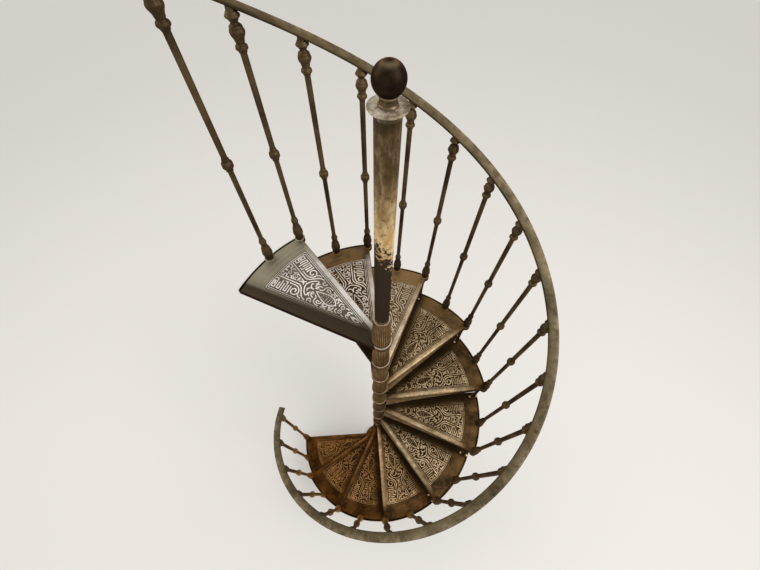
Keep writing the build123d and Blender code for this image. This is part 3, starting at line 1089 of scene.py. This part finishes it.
# Radius = profile, sunk between lobes round the vase: depth x (1 - |cos| of the leaf angle), there
# only. The tenon's end is sheared to lie along the rail's underside.
def balusterMesh(name, height):
    look = baluster
    lean = math.atan((flight["railRadius"] - flight["footRadius"]) / height)
    length = height / math.cos(lean)
    profile = list(look["foot"])
    profile += [(look["knopShare"] * height + at, radius) for at, radius in look["knop"]]
    profile += [(length + at, radius) for at, radius in look["head"]]
    corners = np.array(profile)[:, 0]
    spans, rows = np.diff(corners), look["rowsPerSpan"]
    steps = np.where(spans > look["longOver"], rows["long"], rows["short"])
    heights = stepped(corners, np.where(spans > look["rodOver"], rows["rod"], steps))
    radius = turnedRadius(profile, heights)
    turn = np.arange(look["sides"]) * 2 * np.pi / look["sides"]
    vase = np.exp(-(((heights - length - look["vaseAt"]) / look["vaseReach"]) ** 2))
    sunk = vase[:, None] * (1 - np.abs(np.cos(turn * look["leaves"] / 2)))
    worn = np.interp(radius, look["wornRadii"], [0, 1]) * np.clip(heights / height, look["leastWorn"], 1)
    darkening = look["footDarkening"] * np.exp(-heights / look["darkeningHeight"])
    wearAndShading = (worn - darkening)[:, None] - look["leafDarkening"] * sunk
    x, y, z = np.moveaxis(revolved(heights, radius[:, None] - look["leafDepth"] * sunk, look["sides"]), -1, 0)
    tenonEnd = look["head"][-1][0]
    sheared = np.clip((z - length - look["tenonFrom"]) / (tenonEnd - look["tenonFrom"]), 0, 1)
    slope = flight["rise"] / math.radians(flight["step"]) / flight["railRadius"]
    lift = sheared * (slope * y + math.tan(math.radians(flight["railBank"])) * x)
    out = x * math.cos(lean) + z * math.sin(lean) + flight["footRadius"]
    up = z * math.cos(lean) - x * math.sin(lean) + lift
    return joinGrids(name, [capped(np.stack([out, y, up], axis=-1), wearAndShading)], look["sharpAngle"])


cornerMesh = balusterMesh("cornerBaluster", flight["railHeight"])
middleMesh = balusterMesh("middleBaluster", flight["railHeight"] + flight["rise"] / 2)
kinds = [("corner", flight["cornerAngle"], cornerMesh), ("middle", flight["middleAngle"], middleMesh)]
for label, angle, height in treadPlaces():
    for kind, at, template in kinds:
        name = f"{kind}Baluster.{label}"
        mesh = placedCopy(template, name, angle + at, height)
        addPiece(name, mesh, spindleIron, f"{kind}_baluster_{label}")
print("balusters: two kinds,", len(cornerMesh.polygons), "faces each")

# The handrail: a flat bar with rounded edges along a helix, banked with its outer edge higher.
# Point = helix + outward x (width turned by the bank) + upward (square to the helix and the newel's
# radius) x (thickness turned by the bank).
rail = {
    "width": 0.0398,
    "thickness": 0.0088,
    "edgeRound": 0.0012,
    "easedWidth": 0.006,
    "easedDepth": 0.0032,
    "overhang": 5.0,
    "jointShare": 0.25,
    "treadsPerLength": 2,
    "rowAngle": 1.0,
    "jointGap": 0.0004,
    "cornerPoints": 6,
    "sharpAngle": 50.0,
    # Painted shade: the underside and the very edges of the top are darkened; between the edges the top is
    # rubbed and scuffed.
    "undersideShade": -0.6,
    "wearAndEdgeShadeInset": [0.0, 0.004, 0.012],
    "worn": [-0.2, 0.2, 0.42],
    "scuffAcross": [0.006, 0.014, 0.018, 0.0199],
    "scuffs": [0.0, 0.4, 0.9, 0.5],
}


# The bar's outline: a quarter circle at each lower corner, a quarter ellipse at each upper one.
def railSection():
    look = rail
    half, thick, low = look["width"] / 2, look["thickness"], look["edgeRound"]
    wide, deep = look["easedWidth"], look["easedDepth"]
    corners = [
        (half - wide, thick - deep, wide, deep, 0), (-half + wide, thick - deep, wide, deep, 90),
        (-half + low, low, low, low, 180), (half - low, low, low, low, 270),
    ]
    points = []
    for x, y, across, up, start in corners:
        turn = np.radians(start + np.linspace(0, 90, look["cornerPoints"]))
        points.append([x, y] + [across, up] * flatPoint(1.0, turn))
    return np.concatenate(points)[::-1]


# Point = newel's axis + outward x (rail radius + width turned by the bank) + rising x (thickness
# turned by the bank) + the helix's height at its angle.
def railMesh(name, start, end):
    look = rail
    pitch = flight["rise"] * 360 / flight["step"]
    slope = math.atan(pitch / (2 * math.pi * flight["railRadius"]))
    angle = np.linspace(start, end, int((end - start) / look["rowAngle"]))[:, None]
    bottom = flight["rise"] + flight["railHeight"] + (angle - flight["cornerAngle"]) / 360 * pitch
    across, up = railSection().T
    bank = math.radians(flight["railBank"])
    outward = across * math.cos(bank) - up * math.sin(bank)
    upward = across * math.sin(bank) + up * math.cos(bank)
    turned = np.radians(angle + flight["firstNosing"])
    out = lifted(flatPoint(1.0, turned), 0.0)
    rising = lifted(flatPoint(math.sin(slope), turned - math.pi / 2), math.cos(slope))
    grid = out * (flight["railRadius"] + outward)[:, None] + rising * upward[:, None]
    grid[..., 2] += bottom
    # Painted shade on the edges and the underside, rubbed wear and scuffs on the top between them.
    worn = np.interp(look["width"] / 2 - np.abs(across), look["wearAndEdgeShadeInset"], look["worn"])
    worn += np.interp(across, look["scuffAcross"], look["scuffs"])
    wearAndShading = np.where(up < look["thickness"] / 2, look["undersideShade"], worn)
    return joinGrids(name, [capped(grid, wearAndShading)], look["sharpAngle"])


marks = [flight["cornerAngle"] - rail["overhang"]]
marks += [
    flight["cornerAngle"] + (number + rail["jointShare"]) * flight["step"]
    for number in range(rail["treadsPerLength"], flight["treads"] - 1, rail["treadsPerLength"])
]
marks.append((flight["treads"] - 1) * flight["step"] + flight["middleAngle"] + rail["overhang"])
gapAngle = math.degrees(rail["jointGap"] / flight["railRadius"])
for number, (start, end) in enumerate(zip(marks, marks[1:])):
    name = f"railLength.{number + 1}"
    addPiece(name, railMesh(name, start, end - gapAngle), railIron, f"handrail_{number + 1}")
print("handrail:", len(marks) - 1, "lengths")

# The newel's shaft. Its profile, and those of the pieces after it, are heights over the floor and
# radii.
shaft = {
    "profile": [(0.016, 0.0250), (3.272, 0.0250), (3.2838, 0.0250)],
    "sides": 64,
    "rows": 12,
    "wearAndShading": 0.2,
}
shaftMesh = joinGrids("newelShaft", [turnedOnAxis(shaft)])
addPiece("newelShaft", shaftMesh, oldPaint, "newel_shaft")

# The round cap on the newel's end.
cap = {
    "profile": [
        (3.2720, 0.0258), (3.2735, 0.0268), (3.2755, 0.0266), (3.2790, 0.0274), (3.2838, 0.0275),
        (3.2842, 0.0345), (3.2855, 0.0360), (3.2872, 0.0360), (3.2887, 0.0352), (3.2890, 0.0335),
    ],
    "sides": 72,
    "rows": 4,
    "wearAndShading": 0.2,
}
capMesh = joinGrids("newelCap", [turnedOnAxis(cap)])
addPiece("newelCap", capMesh, capPaint, "newel_cap")

# The ball on its turned neck.
neck = {
    "profile": [
        (3.2888, 0.0172), (3.2898, 0.0178), (3.2912, 0.0172), (3.2935, 0.0153), (3.2990, 0.0148),
        (3.3030, 0.0158), (3.3045, 0.0164), (3.3062, 0.0158), (3.3085, 0.0155),
    ],
    "sides": 48,
    "rows": 4,
    "wearAndShading": 0.85,
}
ball = {
    "centre": 3.3306,
    "radius": 0.0284,
    "latitudes": (-58, 90, 40),  # from, to, points
    "sides": 72,
    "wornAt": 1.15,  # radians
    "wornReach": 0.2,  # radians
    "worn": 0.45,
}


# The ball: radius = ball cos latitude and height = centre + ball sin latitude, rubbed in a band.
def ballGrid():
    look = ball
    latitude = np.radians(np.linspace(*look["latitudes"]))
    heights = look["centre"] + look["radius"] * np.sin(latitude)
    wearAndShading = look["worn"] * np.exp(-(((latitude - look["wornAt"]) / look["wornReach"]) ** 2))
    return turnedAt(0.0, 0.0, heights, look["radius"] * np.cos(latitude), look["sides"], wearAndShading[:, None])


ballMesh = joinGrids("ballFinial", [ballGrid(), turnedOnAxis(neck)])
addPiece("ballFinial", ballMesh, ballIron, "ball_finial")

# The base: a flange with a sleeve under the first tread, and the bolts that hold it down.
base = {
    "profile": [
        (0.0, 0.1185), (0.0015, 0.1200), (0.0135, 0.1200), (0.0160, 0.1175), (0.0165, 0.0600),
        (0.0200, 0.0580), (0.0240, 0.0520), (0.0340, 0.0400), (0.0480, 0.0365), (0.1650, 0.0362),
        (0.1700, 0.0385), (0.1768, 0.0385), (0.1819, 0.0385),
    ],
    "sides": 96,
    "rows": 4,
    "wearAndShading": 0.2,
}
baseBolts = {
    "count": 4,
    "firstAngle": 45.0,
    "circle": 0.092,
    "washer": [(0.0150, 0.0145), (0.0178, 0.0145), (0.0182, 0.0138)],
    "washerSides": 28,
    "washerWear": 0.5,
    "headFrom": 0.0178,
    "headRadius": 0.011,
    "headHeight": 0.0077,
    "headBevel": 0.001,
    "headTop": 0.86,
    "headWear": 0.7,
}


# The base flange and sleeve, with a washer and a bolt head at even angles round it.
def baseGrids():
    look = baseBolts
    grids = [turnedOnAxis(base)]
    heights, radius = np.array(look["washer"]).T
    for angle in np.radians(look["firstAngle"] + np.arange(look["count"]) * 360 / look["count"]):
        x, y = flatPoint(look["circle"], angle)
        grids.append(turnedAt(x, y, heights, radius, look["washerSides"], look["washerWear"]))
        grids.append(boltHead(x, y, look["headFrom"], look))
    return grids


addPiece("newelBase", joinGrids("newelBase", baseGrids()), treadIron, "newel_base")
print("newel, cap, ball and base")

# The floor is a wide pale sheet just under the base, and the sky is soft. The sky shows as white to
# the camera and in reflections.
room = {
    "floorSize": 40.0,
    "floorDrop": 0.0005,
    "floorColour": colour(234, 231, 226),
    "floorRough": 0.7,
    "skyColour": (1.0, 0.985, 0.96, 1.0),
    "skyLight": 0.75,
}


# Point = (+-size, +-size, -drop).
def addFloor():
    ends = np.array([-room["floorSize"], room["floorSize"]])
    flat = np.stack(np.meshgrid(ends, ends), axis=-1)
    mesh = joinGrids("floor", [(lifted(flat, -room["floorDrop"]), 0.0, False)])
    material = bpy.data.materials.new("pale floor")
    material.use_nodes = True
    shader = material.node_tree.nodes["Principled BSDF"]
    shader.inputs["Base Color"].default_value = room["floorColour"]
    shader.inputs["Roughness"].default_value = room["floorRough"]
    mesh.materials.append(material)
    newObject("floor", mesh)


# Strength = sky light, or 1 where the ray comes from the camera or a reflection.
def addSky():
    world = bpy.data.worlds.new("soft room")
    bpy.context.scene.world = world
    world.use_nodes = True
    tree = world.node_tree
    background = tree.nodes["Background"]
    path = addNode(tree, "ShaderNodeLightPath")
    seen = worked(tree, "MAXIMUM", path.outputs["Is Camera Ray"], path.outputs["Is Glossy Ray"])
    background.inputs["Color"].default_value = room["skyColour"]
    strength = ranged(tree, seen, (0.0, 1.0), (room["skyLight"], 1.0))
    tree.links.new(strength, background.inputs["Strength"])


# An object whose matrix has its three axes as columns, and its place.
def addPosed(name, data, axes, place):
    posed = newObject(name, data)
    posed.matrix_world = Matrix([[*axes[i], place[i]] for i in range(3)] + [[0, 0, 0, 1]])
    return posed


lamps = {
    "window": {"place": (3.2, -1.6, 5.6), "aim": (0, 0, 1.8), "size": 3.2, "power": 120.0},
    "fill": {"place": (-3.5, 1.0, 5.0), "aim": (0, 0, 1.8), "size": 3.0, "power": 50.0},
}


# A square lamp that looks from its place to its aim, with its side level.
def addLamp(name, look):
    lamp = bpy.data.lights.new(name, "AREA")
    lamp.size = look["size"]
    lamp.energy = look["power"]
    away = np.subtract(look["place"], look["aim"])
    away /= np.linalg.norm(away)
    side = np.cross([0, 0, 1], away)
    side /= np.linalg.norm(side)
    addPosed(name, lamp, np.stack([side, np.cross(away, side), away], axis=1), look["place"])


addFloor()
addSky()
for name, look in lamps.items():
    addLamp(name, look)

# The camera: above the stair, looking steeply down, turned a little.
view = {
    "place": (-0.0517, -0.5529, 3.6332),
    "tilt": 31.669,
    "roll": 1.012,
    "turn": -4.496,
    "lens": 17.102,
    "sensor": 36.0,
    "nearest": 0.02,
}


# The camera's axes: looking down, tilted towards +Y, rolled about its own axis, turned about Z.
def addCamera():
    tilt, roll, turn = (math.radians(view[key]) for key in ("tilt", "roll", "turn"))
    back = np.array([0.0, -math.sin(tilt), math.cos(tilt)])
    up = np.array([0.0, math.cos(tilt), math.sin(tilt)])
    right = np.array([1.0, 0.0, 0.0])
    rolledRight = right * math.cos(roll) + up * math.sin(roll)
    rolledUp = up * math.cos(roll) - right * math.sin(roll)
    axes = np.array(Matrix.Rotation(turn, 3, "Z")) @ np.stack([rolledRight, rolledUp, back], axis=1)
    lens = bpy.data.cameras.new("camera")
    lens.lens = view["lens"]
    lens.sensor_width = view["sensor"]
    lens.clip_start = view["nearest"]
    bpy.context.scene.camera = addPosed("camera", lens, axes, view["place"])


addCamera()
bpy.context.scene.view_settings.view_transform = "Standard"
